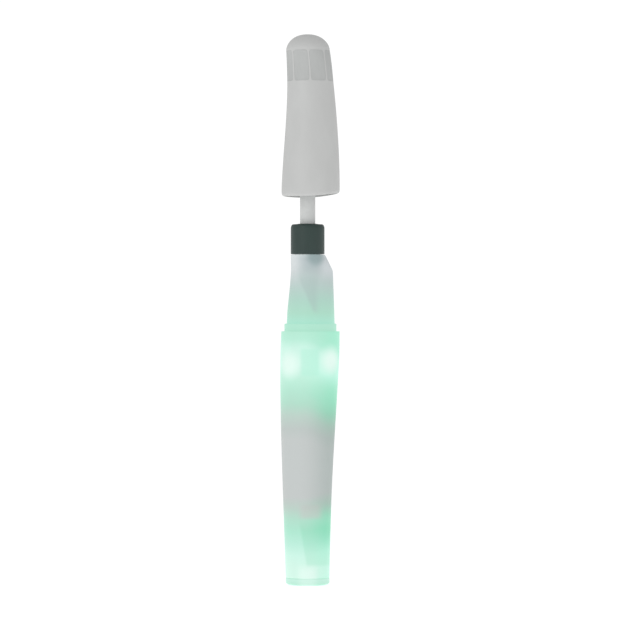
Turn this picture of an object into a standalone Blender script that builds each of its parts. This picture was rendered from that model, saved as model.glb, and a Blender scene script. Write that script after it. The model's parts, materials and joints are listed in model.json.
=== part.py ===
"""Telescopic traffic baton light, shown pulled out, standing on its end cap.

The light tube, its neck and everything inside them stay still. The grip slides on its stem
through the lock collar, and pushed in it covers the collar and the neck. Lengths are given in
millimetres and scaled to metres where a mesh is made. +Z runs from the end cap to the grip,
and +X is the side on which the barrel, the neck's shoulder and the grip swell out.
"""

import math

import bmesh
import bpy
from mathutils import Matrix, Vector

MM = 0.001
GAP = 0.35

# Driving dimensions
TUBE_END_Z = 4.7
LEDGE_Z = 168.9
SPIGOT_TOP_Z = 174.0
NECK_TOP_Z = 220.0
COLLAR_BASE_Z = 220.35
COLLAR_TOP_Z = 240.5
RIM_LOW_Z = 258.5
CROWN_Z = 366.8
TRAVEL = RIM_LOW_Z - LEDGE_Z - GAP
TUBE_WALL = 1.6
GRIP_WALL = 1.5
STEM_R = 5.1
COLLAR_R = 11.25
SPIGOT_R = 17.35
NECK_CENTRE_X = 1.85
CELL_R = 5.25
CELL_LENGTH = 44.5
CELL_COUNT = 3
PAD_COUNT = 8

# The grip's open rim is an arc in side view, lowest a little to the -X side of the axis.
RIM_LOW_X = -4.7
RIM_ARC_R = 131.0

# Side lines of the lofted shells: height, the -X side and the +X side.
TUBE_SIDES = [
    (TUBE_END_Z, -14.65, 14.5),
    (34.5, -15.6, 15.2),
    (66.5, -16.7, 16.3),
    (98.5, -17.65, 18.0),
    (130.5, -18.2, 19.9),
    (151.8, -18.2, 21.05),
    (LEDGE_Z, -17.6, 21.35),
]
NECK_SIDES = [
    (SPIGOT_TOP_Z, -13.95, 18.0),
    (183.1, -13.45, 17.75),
    (198.5, -11.9, 17.2),
    (209.1, -11.15, 16.75),
    (215.0, -11.2, 15.4),
    (NECK_TOP_Z, -11.3, 11.5),
]
GRIP_SIDES = [
    (RIM_LOW_Z, -17.55, 21.38),
    (270.0, -17.15, 21.35),
    (287.0, -16.05, 20.9),
    (306.5, -14.65, 19.75),
    (323.0, -13.8, 18.4),
    (338.0, -13.6, 16.9),
    (350.0, -14.05, 15.75),
    (357.0, -14.3, 14.7),
]

# Grip, inside and out
GRIP_CEILING_Z = 332.0
CROWN_SHOULDER_Z = 356.5
CROWN_R = 14.6
CROWN_FLAT_R = 1.0
RIM_ROUND = 1.2
PAD_LOW_Z = 335.0
PAD_HIGH_Z = 356.0
PAD_RIB_DEG = 5.0
PAD_POCKET = 1.1
PAD_SINK = 0.25

# Shoulder of the neck: a flat plane through two heights of its +X side
SHOULDER_LOW = (16.87, 209.1)
SHOULDER_HIGH = (11.67, 219.8)
BUTTON_R = 3.7

# Heights inside
GUIDE_FLOOR_Z = 98.8
GUIDE_TOP_Z = 205.0
GUIDE_R = 8.2
GUIDE_BORE_R = 7.25
FLANGE_Z = 163.0
RING_BOARD_Z = 157.8
LED_TOP_Z = 157.3
LED_RING_R = 13.0
LED_DEGREES = (45, 135, 225, 315)
LED_R = 2.5
HOLDER_LOW_Z = 44.2
HOLDER_HIGH_Z = 94.9
HOLDER_R = 12.2
HOLDER_PLATE = 1.8
TAIL_BOARD_Z = 12.0

SHELL_SEGMENTS = 32
ROUND_SEGMENTS = 16
SMALL_SEGMENTS = 10
SEAL_SIDES = 6


def clear_scene():
    for old in list(bpy.data.objects):
        bpy.data.objects.remove(old, do_unlink=True)


def material(name, colour, roughness=0.5, metallic=0.0):
    made = bpy.data.materials.new(name)
    made.use_nodes = True
    shader = made.node_tree.nodes["Principled BSDF"]
    shader.inputs["Base Color"].default_value = (*colour, 1.0)
    shader.inputs["Roughness"].default_value = roughness
    shader.inputs["Metallic"].default_value = metallic
    return made


# --- Sections of the lofted shells ---


def smooth_between(stations, height, column):
    """Cubic curve through one column of the stations, which keeps the stations' own slopes."""
    heights = [station[0] for station in stations]
    values = [station[column] for station in stations]
    height = min(max(height, heights[0]), heights[-1])
    last = len(stations) - 1
    k = max(i for i in range(last) if heights[i] <= height)

    def slope(i):
        low, high = max(i - 1, 0), min(i + 1, last)
        return (values[high] - values[low]) / (heights[high] - heights[low])

    span = heights[k + 1] - heights[k]
    t = (height - heights[k]) / span
    rise = t * t * (3 - 2 * t)
    start = t * (1 - t) ** 2 * span * slope(k)
    end = t * t * (t - 1) * span * slope(k + 1)
    return values[k] + (values[k + 1] - values[k]) * rise + start + end


def section(stations, height):
    """The shell's centre on X and its radius at one height."""
    left = smooth_between(stations, height, 1)
    right = smooth_between(stations, height, 2)
    return (left + right) / 2, (right - left) / 2


def rim_rise(x):
    return (x - RIM_LOW_X) ** 2 / (2 * RIM_ARC_R)


def loop(z, radius, centre=0.0, segments=SHELL_SEGMENTS, arched=False):
    """One level circle of points, or one that follows the arc of the grip's rim."""
    points = []
    for i in range(segments):
        angle = math.tau * i / segments
        x = centre + radius * math.cos(angle)
        lift = rim_rise(x) if arched else 0.0
        points.append(Vector((x, radius * math.sin(angle), z + lift)))
    return points


def shell_loop(stations, z, offset=0.0):
    centre, radius = section(stations, z)
    return loop(z, radius + offset, centre)


def spread(low, high, count):
    return [low + (high - low) * i / (count - 1) for i in range(count)]


# --- Makers of objects ---


def add_object(name, mesh, finish, origin=(0, 0, 0)):
    """Puts the mesh, whose points are in world millimetres, on an object with this origin."""
    mesh.transform(Matrix.Translation(-Vector(origin)))
    mesh.transform(Matrix.Scale(MM, 4))
    mesh.materials.append(finish)
    mesh.shade_smooth()
    mesh.set_sharp_from_angle(angle=math.radians(35))
    made = bpy.data.objects.new(name, mesh)
    made.location = Vector(origin) * MM
    bpy.context.scene.collection.objects.link(made)
    return made


def mesh_from(name, build):
    bmesh.ops.recalc_face_normals(build, faces=build.faces)
    mesh = bpy.data.meshes.new(name)
    build.to_mesh(mesh)
    build.free()
    return mesh


def skin(build, loops, closed):
    """Joins each loop to the next: a ring when closed, else a solid with flat ends."""
    rows = [[build.verts.new(point) for point in points] for points in loops]
    following = rows[1:] + rows[:1] if closed else rows[1:]
    for row, above in zip(rows, following):
        count = len(row)
        for i in range(count):
            j = (i + 1) % count
            build.faces.new((row[i], row[j], above[j], above[i]))
    if not closed:
        build.faces.new(rows[0])
        build.faces.new(rows[-1])


def lofted(name, finish, loops, closed=False, origin=(0, 0, 0)):
    build = bmesh.new()
    skin(build, loops, closed)
    return add_object(name, mesh_from(name, build), finish, origin)


def turned(name, finish, profile, closed=False, segments=ROUND_SEGMENTS, centre=0.0):
    """A round piece from (radius, height) points, solid unless closed makes it a ring."""
    loops = [loop(z, radius, centre, segments) for radius, z in profile]
    return lofted(name, finish, loops, closed)


def along(loops, start, direction):
    """Moves loops made round +Z so that their axis runs from start along direction."""
    turn = Vector((0, 0, 1)).rotation_difference(direction).to_matrix()
    return [[start + turn @ point for point in points] for points in loops]


def turned_along(name, finish, profile, start, direction, segments=ROUND_SEGMENTS):
    """A solid round piece whose axis runs from start along direction."""
    loops = along([loop(z, radius, 0.0, segments) for radius, z in profile], start, direction)
    return lofted(name, finish, loops, origin=start)


def box_corners(size, frame):
    half = [side / 2 for side in size]
    corners = [(-half[0], -half[1]), (half[0], -half[1]), (half[0], half[1]), (-half[0], half[1])]
    return [[frame @ Vector((x, y, z)) for x, y in corners] for z in (-half[2], half[2])]


def block(name, finish, size, centre, turn=None):
    frame = Matrix.Translation(Vector(centre)) @ (turn or Matrix.Identity(4))
    return lofted(name, finish, box_corners(size, frame), origin=centre)


def cutter(name, loop_sets):
    """A helper that holds one or more solids and is left out of the render."""
    build = bmesh.new()
    for loops in loop_sets:
        skin(build, loops, closed=False)
    made = add_object(name, mesh_from(name, build), FINISH["helper"])
    made.hide_render = True
    made.display_type = "WIRE"
    return made


def cut(piece, tool, operation="DIFFERENCE"):
    change = piece.modifiers.new(tool.name, "BOOLEAN")
    change.operation = operation
    change.solver = "EXACT"
    change.object = tool


def wire(name, finish, route, radius):
    """A lead on one smooth curve through the route, with about a point for each 3 diameters."""
    points = [Vector(point) for point in route]
    fine = []
    for k in range(len(points) - 1):
        before = points[max(k - 1, 0)]
        after = points[min(k + 2, len(points) - 1)]
        steps = max(2, round((points[k + 1] - points[k]).length / (6 * radius)))
        for step in range(steps):
            t = step / steps
            start_slope = (points[k + 1] - before) / 2
            end_slope = (after - points[k]) / 2
            rise = t * t * (3 - 2 * t)
            bend = start_slope * t * (1 - t) ** 2 + end_slope * t * t * (t - 1)
            fine.append(points[k].lerp(points[k + 1], rise) + bend)
    fine.append(points[-1])
    curve = bpy.data.curves.new(name, "CURVE")
    curve.dimensions = "3D"
    curve.bevel_depth = radius * MM
    curve.bevel_resolution = 1
    curve.use_fill_caps = True
    spline = curve.splines.new("POLY")
    spline.points.add(len(fine) - 1)
    for place, point in zip(spline.points, fine):
        place.co = (*(point * MM), 1.0)
    curve.materials.append(finish)
    made = bpy.data.objects.new(name, curve)
    bpy.context.scene.collection.objects.link(made)
    return made


FINISH = {}


def make_finishes():
    FINISH.update(
        frosted=material("frosted_shell", (0.62, 0.86, 0.76), 0.45),
        neck=material("frosted_neck", (0.66, 0.78, 0.76), 0.45),
        cap=material("frosted_cap", (0.55, 0.8, 0.7), 0.45),
        grip=material("grip_plastic", (0.54, 0.55, 0.55), 0.5),
        pad=material("pad_rubber", (0.42, 0.44, 0.43), 0.7),
        stem=material("stem_plastic", (0.54, 0.55, 0.55), 0.4),
        collar=material("collar_plastic", (0.055, 0.075, 0.07), 0.5),
        inner=material("inner_plastic", (0.75, 0.76, 0.75), 0.5),
        rubber=material("black_rubber", (0.03, 0.03, 0.03), 0.8),
        board=material("circuit_board", (0.75, 0.8, 0.76), 0.5),
        chip=material("chip_black", (0.03, 0.03, 0.035), 0.4),
        steel=material("bright_steel", (0.6, 0.6, 0.6), 0.3, 1.0),
        brass=material("contact_brass", (0.7, 0.55, 0.25), 0.3, 1.0),
        cell=material("cell_label", (0.5, 0.52, 0.55), 0.4, 0.6),
        led=material("led_lens", (0.5, 0.95, 0.75), 0.15),
        button=material("button_rubber", (0.6, 0.66, 0.64), 0.7),
        red=material("wire_red", (0.5, 0.03, 0.03), 0.5),
        dark=material("wire_black", (0.03, 0.03, 0.03), 0.5),
        helper=material("helper", (1.0, 0.0, 1.0)),
    )


# --- Outer shells of the light ---


def make_light_tube():
    """Barrel, open at both ends, with a seat inside its mouth for the guide tube's flange."""
    mouth_r = SPIGOT_R + 0.4
    seat_r = mouth_r - 1.0
    seat_z = FLANGE_Z - GAP
    outside = [shell_loop(TUBE_SIDES, z) for z in spread(TUBE_END_Z + GAP, LEDGE_Z, 11)]
    mouth = [
        loop(LEDGE_Z, mouth_r, NECK_CENTRE_X),
        loop(seat_z, mouth_r, NECK_CENTRE_X),
        loop(seat_z, seat_r, NECK_CENTRE_X),
        loop(seat_z - 2.5, seat_r, NECK_CENTRE_X),
    ]
    inner_heights = spread(TUBE_END_Z + GAP, seat_z - 4.0, 6)
    inside = [shell_loop(TUBE_SIDES, z, -TUBE_WALL) for z in reversed(inner_heights)]
    lofted("light_tube", FINISH["frosted"], outside + mouth + inside, closed=True)


def make_end_cap():
    """Twist cap: a flat foot, a rounded corner, and a hollow spigot inside the tube."""
    foot_r = 14.55
    corner = [(10.6, 0.0), (12.6, 0.35), (13.7, 1.0), (14.3, 2.0), (foot_r, 3.2), (foot_r, TUBE_END_Z)]
    spigot = [
        (12.75, TUBE_END_Z),
        (12.75, 6.4),
        (11.8, 6.4),
        (11.8, 8.2),
        (12.75, 8.2),
        (12.75, 9.8),
        (10.6, 9.8),
        (10.6, 2.2),
    ]
    turned("end_cap", FINISH["cap"], corner + spigot, segments=SHELL_SEGMENTS)
    seal_ring("end_cap_seal", 7.3, 12.0, 12.9, 0.7)


def seal_ring(name, z, inner_r, outer_r, half_height, centre=0.0, segments=SHELL_SEGMENTS):
    """Rubber ring with a rounded section."""
    middle = (inner_r + outer_r) / 2
    half_width = (outer_r - inner_r) / 2
    profile = []
    for i in range(SEAL_SIDES):
        angle = math.tau * (i + 0.5) / SEAL_SIDES
        profile.append((middle + half_width * math.cos(angle), z + half_height * math.sin(angle)))
    return turned(name, FINISH["rubber"], profile, closed=True, segments=segments, centre=centre)


def shoulder_frame():
    """A point on the neck's sloping flat, its outward normal and the direction up the slope."""
    low = Vector((SHOULDER_LOW[0], 0, SHOULDER_LOW[1]))
    high = Vector((SHOULDER_HIGH[0], 0, SHOULDER_HIGH[1]))
    up_slope = (high - low).normalized()
    normal = Vector((up_slope.z, 0, -up_slope.x))
    return (low + high) / 2, normal, up_slope


def make_neck_housing():
    """Neck from the spigot to the threaded boss, with a flat on its shoulder for the button."""
    centre, cavity_r = NECK_CENTRE_X, SPIGOT_R - 1.8
    skirt_z = FLANGE_Z + 1.4 + GAP
    boss_r, bore_r, lip_r, boss_top = 8.6, 7.65, 6.3, 233.0
    skirt = [
        loop(skirt_z, SPIGOT_R, centre),
        loop(165.8, SPIGOT_R, centre),
        loop(165.8, SPIGOT_R - 0.9, centre),
        loop(167.6, SPIGOT_R - 0.9, centre),
        loop(167.6, SPIGOT_R, centre),
        loop(SPIGOT_TOP_Z - 0.5, SPIGOT_R, centre),
        loop(SPIGOT_TOP_Z, SPIGOT_R - 0.5, centre),
    ]
    heights = spread(SPIGOT_TOP_Z, 209.1, 5) + [212.0, 215.0, 217.5, NECK_TOP_Z]
    neck = [shell_loop(NECK_SIDES, z) for z in heights]
    boss = [
        loop(NECK_TOP_Z, boss_r),
        loop(boss_top, boss_r),
        loop(boss_top, bore_r),
        loop(219.7, bore_r),
        loop(219.7, lip_r),
        loop(217.6, lip_r),
    ]
    cavity = [
        loop(217.6, 9.4, 0.0),
        loop(215.0, 10.2, 0.5),
        loop(209.1, 11.7, 1.6),
        shell_loop(NECK_SIDES, 198.5, -TUBE_WALL),
        shell_loop(NECK_SIDES, 183.1, -TUBE_WALL),
        shell_loop(NECK_SIDES, SPIGOT_TOP_Z - 1.5, -TUBE_WALL),
        loop(170.0, cavity_r, centre),
        loop(skirt_z, cavity_r, centre),
    ]
    housing = lofted("neck_housing", FINISH["neck"], skirt + neck + boss + cavity, closed=True)
    middle, normal, _ = shoulder_frame()
    flat = along(box_corners((16.0, 30.0, 10.0), Matrix.Translation((0, 0, 5.0))), middle, normal)
    cut(housing, cutter("shoulder_cutter", [flat]))
    hole_r, counterbore_r, wall = BUTTON_R + 0.3, 5.15, 2.2
    hole = [loop(z, r, 0.0, ROUND_SEGMENTS) for z, r in ((2.0, hole_r), (-wall - 1.0, hole_r))]
    pocket = [loop(z, r, 0.0, ROUND_SEGMENTS) for z, r in ((-wall, counterbore_r), (-9.0, counterbore_r))]
    cut(housing, cutter("button_hole_cutter", [along(hole, middle, normal)]))
    cut(housing, cutter("button_pocket_cutter", [along(pocket, middle, normal)]))
    seal_ring("neck_seal", 166.7, SPIGOT_R - 0.75, SPIGOT_R + 0.2, 0.7, centre)


# --- Slide and lock ---


def make_guide():
    """Cup that takes the stem, with a flange that is clamped between the tube and the neck."""
    flange_r = SPIGOT_R
    outer = [
        loop(GUIDE_FLOOR_Z, GUIDE_R, 0.0),
        loop(FLANGE_Z, GUIDE_R, 0.0),
        loop(FLANGE_Z, flange_r, NECK_CENTRE_X),
        loop(FLANGE_Z + 1.4, flange_r, NECK_CENTRE_X),
        loop(FLANGE_Z + 1.4, GUIDE_R, 0.0),
        loop(GUIDE_TOP_Z, GUIDE_R, 0.0),
        loop(GUIDE_TOP_Z, GUIDE_BORE_R, 0.0),
        loop(GUIDE_FLOOR_Z + 1.2, GUIDE_BORE_R, 0.0),
    ]
    lofted("guide_tube", FINISH["inner"], outer)
    pad_low = GUIDE_FLOOR_Z + 1.2 + GAP
    turned("guide_bumper", FINISH["rubber"], [(6.4, pad_low), (6.7, pad_low + 0.4), (6.2, pad_low + 1.4)])
    top = GUIDE_TOP_Z + GAP
    bore_r = STEM_R + GAP
    bushing = [
        (bore_r, top - 2.4),
        (6.9, top - 2.4),
        (6.9, top),
        (GUIDE_R, top),
        (GUIDE_R, top + 1.4),
        (bore_r, top + 1.4),
    ]
    turned("stem_bushing", FINISH["inner"], bushing, closed=True)


def make_collet():
    """Nylon sleeve with four slots, which the collar's cone squeezes on to the stem."""
    bore_r = STEM_R + GAP
    profile = [(bore_r, 220.1), (7.3, 220.1), (7.3, 233.4), (6.3, 236.6), (bore_r, 236.6)]
    collet = turned("collet", FINISH["inner"], profile, closed=True)
    slots = []
    for k in range(2):
        turn = Matrix.Rotation(math.radians(45 + 90 * k), 4, "Z")
        slots.append(box_corners((20.0, 1.2, 14.0), Matrix.Translation((0, 0, 232.0)) @ turn))
    cut(collet, cutter("collet_slot_cutter_a", [slots[0]]))
    cut(collet, cutter("collet_slot_cutter_b", [slots[1]]))


def make_lock_collar():
    """Ring nut with a rounded top edge and a small index rib at its back."""
    base, top, r = COLLAR_BASE_Z, COLLAR_TOP_Z, COLLAR_R
    outside = [
        (r - 0.3, base),
        (r, base + 0.3),
        (r, top - 4.0),
        (r - 0.2, top - 2.6),
        (r - 0.55, top - 1.2),
        (r - 1.1, top - 0.3),
        (r - 1.5, top),
    ]
    inside = [
        (STEM_R + 0.4, top),
        (STEM_R + 0.4, 239.6),
        (6.95, 239.6),
        (6.95, 237.9),
        (6.35, 237.9),
        (7.9, 233.9),
        (9.0, 233.6),
        (9.0, base),
    ]
    collar = turned("lock_collar", FINISH["collar"], outside + inside, closed=True, segments=SHELL_SEGMENTS)
    rib = box_corners((1.6, 1.2, 9.0), Matrix.Translation((0, r - 0.1, base + 8.0)))
    cut(collar, cutter("collar_index_rib", [rib]), "UNION")
    seal_ring("stem_wiper", 238.75, STEM_R + 0.2, 6.75, 0.55, segments=ROUND_SEGMENTS)


def make_stem():
    """Tube with its foot, friction ring and top plug."""
    low, high = 197.4, 353.6
    wall_r = STEM_R - 1.2
    profile = [(STEM_R - 0.3, low), (STEM_R, low + 0.4), (STEM_R, high), (wall_r, high), (wall_r, low)]
    turned("stem", FINISH["stem"], profile, closed=True)
    foot_low = GUIDE_FLOOR_Z + 1.2 + GAP + 1.4 + GAP + TRAVEL
    foot = [
        (4.6, foot_low),
        (6.9, foot_low + 2.0),
        (6.9, foot_low + 3.0),
        (6.2, foot_low + 3.0),
        (6.2, foot_low + 4.6),
        (6.9, foot_low + 4.6),
        (6.9, GUIDE_TOP_Z - 2.6),
        (5.75, GUIDE_TOP_Z - 2.6),
        (5.75, low - GAP),
    ]
    turned("stem_foot", FINISH["collar"], foot)
    seal_ring("foot_ring", foot_low + 3.8, 6.35, 7.1, 0.6, segments=ROUND_SEGMENTS)
    plug = [(wall_r - 0.3, high - 12.0), (wall_r - 0.3, high - 0.6), (1.7, high - 0.6), (1.7, high - 11.0)]
    turned("stem_plug", FINISH["inner"], plug)


# --- Grip ---


def crown_loops(offset):
    """Crown of the grip: a superellipse whose shoulder slopes in before it rounds to the top."""
    height = CROWN_Z - CROWN_SHOULDER_Z + offset
    loops = []
    for degrees in (12, 24, 36, 48, 60, 72, 84):
        angle = math.radians(degrees)
        rise = math.sin(angle) ** (2 / 1.8)
        reach = math.cos(angle) ** (2 / 2.5)
        loops.append(loop(CROWN_SHOULDER_Z + height * rise, (CROWN_R + offset) * reach))
    loops.append(loop(CROWN_SHOULDER_Z + height, CROWN_FLAT_R))
    return loops


def make_grip_shell():
    """Hollow cap with an arched rim, thin walls below its ceiling and pockets for the pads."""
    rim_centre, rim_r = section(GRIP_SIDES, RIM_LOW_Z)
    rim = [
        loop(RIM_LOW_Z + RIM_ROUND, rim_r, rim_centre, arched=True),
        loop(RIM_LOW_Z + 0.35, rim_r - 0.35, rim_centre, arched=True),
        loop(RIM_LOW_Z, rim_r - RIM_ROUND, rim_centre, arched=True),
        loop(RIM_LOW_Z, rim_r - GRIP_WALL, rim_centre, arched=True),
    ]
    side = [shell_loop(GRIP_SIDES, z) for z in spread(265.0, 357.0, 9)]
    thick_z = GRIP_CEILING_Z + 4.0
    thick = GRIP_WALL + 1.0
    inside = [shell_loop(GRIP_SIDES, z, -GRIP_WALL) for z in spread(265.0, thick_z - 0.4, 6)]
    inside += [shell_loop(GRIP_SIDES, z, -thick) for z in spread(thick_z, 354.0, 3)]
    down = list(reversed(side + crown_loops(0.0)))
    return lofted("grip_shell", FINISH["grip"], down + rim + inside + crown_loops(-thick))


def panel_loops(low, high, outer, inner, rib_degrees, index):
    """A curved panel of the grip's surface between two offsets, one of PAD_COUNT round it."""
    pitch = 360 / PAD_COUNT
    start = -90 + index * pitch + rib_degrees / 2
    angles = [math.radians(start + (pitch - rib_degrees) * i / 4) for i in range(5)]
    loops = []
    for z in spread(low, high, 4):
        centre, radius = section(GRIP_SIDES, z)
        rows = [(radius + outer, angles), (radius + inner, list(reversed(angles)))]
        points = []
        for row_r, row_angles in rows:
            points += [Vector((centre + row_r * math.cos(a), row_r * math.sin(a), z)) for a in row_angles]
        loops.append(points)
    return loops


def make_grip_pads(shell):
    """Soft inlays in pockets round the crown end of the grip."""
    side_gap = 2 * math.degrees(GAP / CROWN_R)
    for index in range(PAD_COUNT):
        pocket = panel_loops(PAD_LOW_Z, PAD_HIGH_Z, 2.0, -PAD_POCKET, PAD_RIB_DEG, index)
        cut(shell, cutter(f"pad_pocket_cutter_{index + 1}", [pocket]))
        low, high = PAD_LOW_Z + GAP, PAD_HIGH_Z - GAP
        rib = PAD_RIB_DEG + side_gap
        pad = panel_loops(low, high, -PAD_SINK, GAP - PAD_POCKET, rib, index)
        lofted(f"grip_pad_{index + 1}", FINISH["pad"], pad)


def make_grip_core():
    """Disc and socket that hold the stem in the grip, and the screw that clamps them."""
    centre, shell_r = section(GRIP_SIDES, GRIP_CEILING_Z)
    disc_r = shell_r - GRIP_WALL - 0.7
    low, high = GRIP_CEILING_Z, GRIP_CEILING_Z + 3.0
    socket_r, bore_r, socket_top, screw_hole_r = 7.4, STEM_R + 0.3, 356.2, 1.7
    loops = [
        loop(low, bore_r),
        loop(low, disc_r, centre),
        loop(high, disc_r, centre),
        loop(high, socket_r),
        loop(socket_top, socket_r),
        loop(socket_top, screw_hole_r),
        loop(354.0, screw_hole_r),
        loop(354.0, bore_r),
    ]
    lofted("grip_core", FINISH["inner"], loops, closed=True)
    head_z = socket_top + GAP
    screw = [(1.3, 344.0), (1.3, head_z), (2.9, head_z), (2.9, head_z + 1.2), (2.0, head_z + 2.0)]
    turned("grip_screw", FINISH["steel"], screw, segments=SMALL_SEGMENTS)


# --- Lights and electronics ---


def led(name, tip_direction, base, length):
    """Round LED: a flange, a barrel and a domed tip."""
    profile = [(2.9, 0.0), (2.9, 1.0), (LED_R, 1.0), (LED_R, length - LED_R)]
    for degrees in (30, 55, 78):
        angle = math.radians(degrees)
        profile.append((LED_R * math.cos(angle), length - LED_R + LED_R * math.sin(angle)))
    turned_along(name, FINISH["led"], profile, Vector(base), Vector(tip_direction), segments=SMALL_SEGMENTS)


def make_upper_light():
    """Ring board under the guide tube's flange, with LEDs that point down the barrel."""
    centre = NECK_CENTRE_X
    board_high = RING_BOARD_Z + 1.4
    build_loops = [
        loop(RING_BOARD_Z, GUIDE_R + 0.5, 0.0),
        loop(RING_BOARD_Z, 16.2, centre),
        loop(board_high, 16.2, centre),
        loop(board_high, GUIDE_R + 0.5, 0.0),
    ]
    lofted("led_ring_board", FINISH["board"], build_loops, closed=True)
    for index, degrees in enumerate(LED_DEGREES):
        angle = math.radians(degrees)
        base = (centre + LED_RING_R * math.cos(angle), LED_RING_R * math.sin(angle), LED_TOP_Z)
        led(f"led_{index + 1}", (0, 0, -1), base, 9.6)
    front = -10.8
    block("driver_board", FINISH["board"], (11.6, 1.0, 16.0), (centre, front, 149.2))
    block("driver_chip", FINISH["chip"], (4.2, 1.4, 4.2), (centre - 1.6, front - 1.6, 152.0))
    coil = [(1.9, 0.0), (1.9, 1.8), (1.4, 2.2)]
    coil_base = Vector((centre + 1.6, front - 0.85, 145.4))
    turned_along("driver_coil", FINISH["chip"], coil, coil_base, Vector((0, -1, 0)), segments=SMALL_SEGMENTS)
    for index, side in enumerate((-1, 1)):
        name = f"board_screw_{index + 1}"
        base = Vector((centre, side * 12.6, board_high + GAP))
        head = [(1.9, 0.0), (1.9, 1.1), (1.2, 1.6)]
        turned_along(name, FINISH["steel"], head, base, Vector((0, 0, 1)), segments=SMALL_SEGMENTS)


def make_lower_light():
    """Small board above the end cap, its LED, and the tapered spreader over it."""
    board = [(12.6, TAIL_BOARD_Z), (12.6, TAIL_BOARD_Z + 1.2)]
    turned("lower_led_board", FINISH["board"], board)
    led("lower_led", (0, 0, -1), (0, 0, TAIL_BOARD_Z - GAP), 8.0)
    low, high = TAIL_BOARD_Z + 1.2 + GAP, HOLDER_LOW_Z - GAP
    cone = [(2.2, low), (2.6, low + 6.0), (4.2, high - 10.0), (7.0, high - 1.6), (7.0, high)]
    turned("light_spreader", FINISH["inner"], cone)


def cell_axis(index):
    """Where a cell stands in the holder: three in a ring round the axis."""
    spacing_r = (2 * CELL_R + 0.4) / math.sqrt(3)
    angle = math.radians(90 + 120 * index)
    return spacing_r * math.cos(angle), spacing_r * math.sin(angle)


def make_battery_pack():
    """Carrier with two plates and three posts, the cells, and a spring and a plate for each."""
    low_plate = [loop(HOLDER_LOW_Z, HOLDER_R), loop(HOLDER_LOW_Z + HOLDER_PLATE, HOLDER_R)]
    holder = lofted("battery_holder", FINISH["inner"], low_plate)
    high_plate = [loop(HOLDER_HIGH_Z, HOLDER_R), loop(HOLDER_HIGH_Z + HOLDER_PLATE, HOLDER_R)]
    cut(holder, cutter("holder_top_plate", [high_plate]), "UNION")
    for k in range(CELL_COUNT):
        angle = math.radians(30 + 120 * k)
        x, y = 10.3 * math.cos(angle), 10.3 * math.sin(angle)
        frame = Matrix.Translation((x, y, 0))
        ends = [loop(z + 0.9, 1.5, 0.0, SMALL_SEGMENTS) for z in (HOLDER_LOW_Z, HOLDER_HIGH_Z)]
        post = [[frame @ point for point in end] for end in ends]
        cut(holder, cutter(f"holder_post_{k + 1}", [post]), "UNION")
    for k in range(CELL_COUNT):
        make_cell(k)


def make_cell(index):
    """One cell with its contacts; the middle cell stands the other way up."""
    x, y = cell_axis(index)
    floor, ceiling = HOLDER_LOW_Z + HOLDER_PLATE, HOLDER_HIGH_Z
    upside_down = index == 1
    base = Vector((x, y, ceiling if upside_down else floor))
    up = Vector((0, 0, -1 if upside_down else 1))
    number = index + 1
    spring_height, cell_start = 2.4, 3.0
    coil_spring(f"contact_spring_{number}", base + up * 0.3, up, spring_height)
    r = CELL_R
    cell = [(r - 0.4, 0.0), (r, 0.4), (r, 43.2), (r - 0.4, 43.6), (1.9, 43.6), (1.9, CELL_LENGTH)]
    turned_along(f"battery_{number}", FINISH["cell"], cell, base + up * cell_start, up)
    plate_start = cell_start + CELL_LENGTH + GAP
    plate = [(3.4, 0.0), (3.4, 0.5)]
    start = base + up * plate_start
    turned_along(f"contact_plate_{number}", FINISH["brass"], plate, start, up, segments=SMALL_SEGMENTS)


def coil_spring(name, base, up, height):
    """Conical coil of steel wire, wide at its foot."""
    turns, per_turn, wire_r, low_r, high_r = 2.5, 12, 0.3, 3.6, 2.0
    steps = round(turns * per_turn)
    curve = bpy.data.curves.new(name, "CURVE")
    curve.dimensions = "3D"
    curve.bevel_depth = wire_r * MM
    curve.bevel_resolution = 0
    curve.use_fill_caps = True
    spline = curve.splines.new("POLY")
    spline.points.add(steps)
    for i, place in enumerate(spline.points):
        share = i / steps
        angle = math.tau * i / per_turn
        radius = low_r + (high_r - low_r) * share
        level = base + up * (wire_r + (height - 2 * wire_r) * share)
        spot = Vector((level.x + radius * math.cos(angle), level.y + radius * math.sin(angle), level.z))
        place.co = (*(spot * MM), 1.0)
    curve.materials.append(FINISH["steel"])
    made = bpy.data.objects.new(name, curve)
    bpy.context.scene.collection.objects.link(made)


def make_power_button():
    """Button in the shoulder, its tact switch and the small board behind it."""
    middle, normal, up_slope = shoulder_frame()
    inward = -normal
    head = [(BUTTON_R - 0.5, 0.05), (BUTTON_R, 0.5), (BUTTON_R, 2.55), (4.8, 2.55), (4.8, 3.3)]
    turned_along("power_button", FINISH["button"], head, middle, inward)
    plunger = [(1.2, 0.0), (1.2, 1.8)]
    tip = middle + inward * 3.65
    turned_along("tact_plunger", FINISH["chip"], plunger, tip, inward, segments=SMALL_SEGMENTS)
    turn = Matrix((up_slope, inward.cross(up_slope), inward)).transposed().to_4x4()
    switch = block("tact_switch", FINISH["chip"], (4.8, 4.8, 1.5), middle + inward * 5.4, turn)
    hole = along([loop(z, 1.5, 0.0, SMALL_SEGMENTS) for z in (3.0, 8.0)], middle, inward)
    cut(switch, cutter("plunger_hole_cutter", [hole]))
    block("switch_board", FINISH["board"], (6.2, 8.0, 0.8), middle + inward * 6.95, turn)


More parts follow.
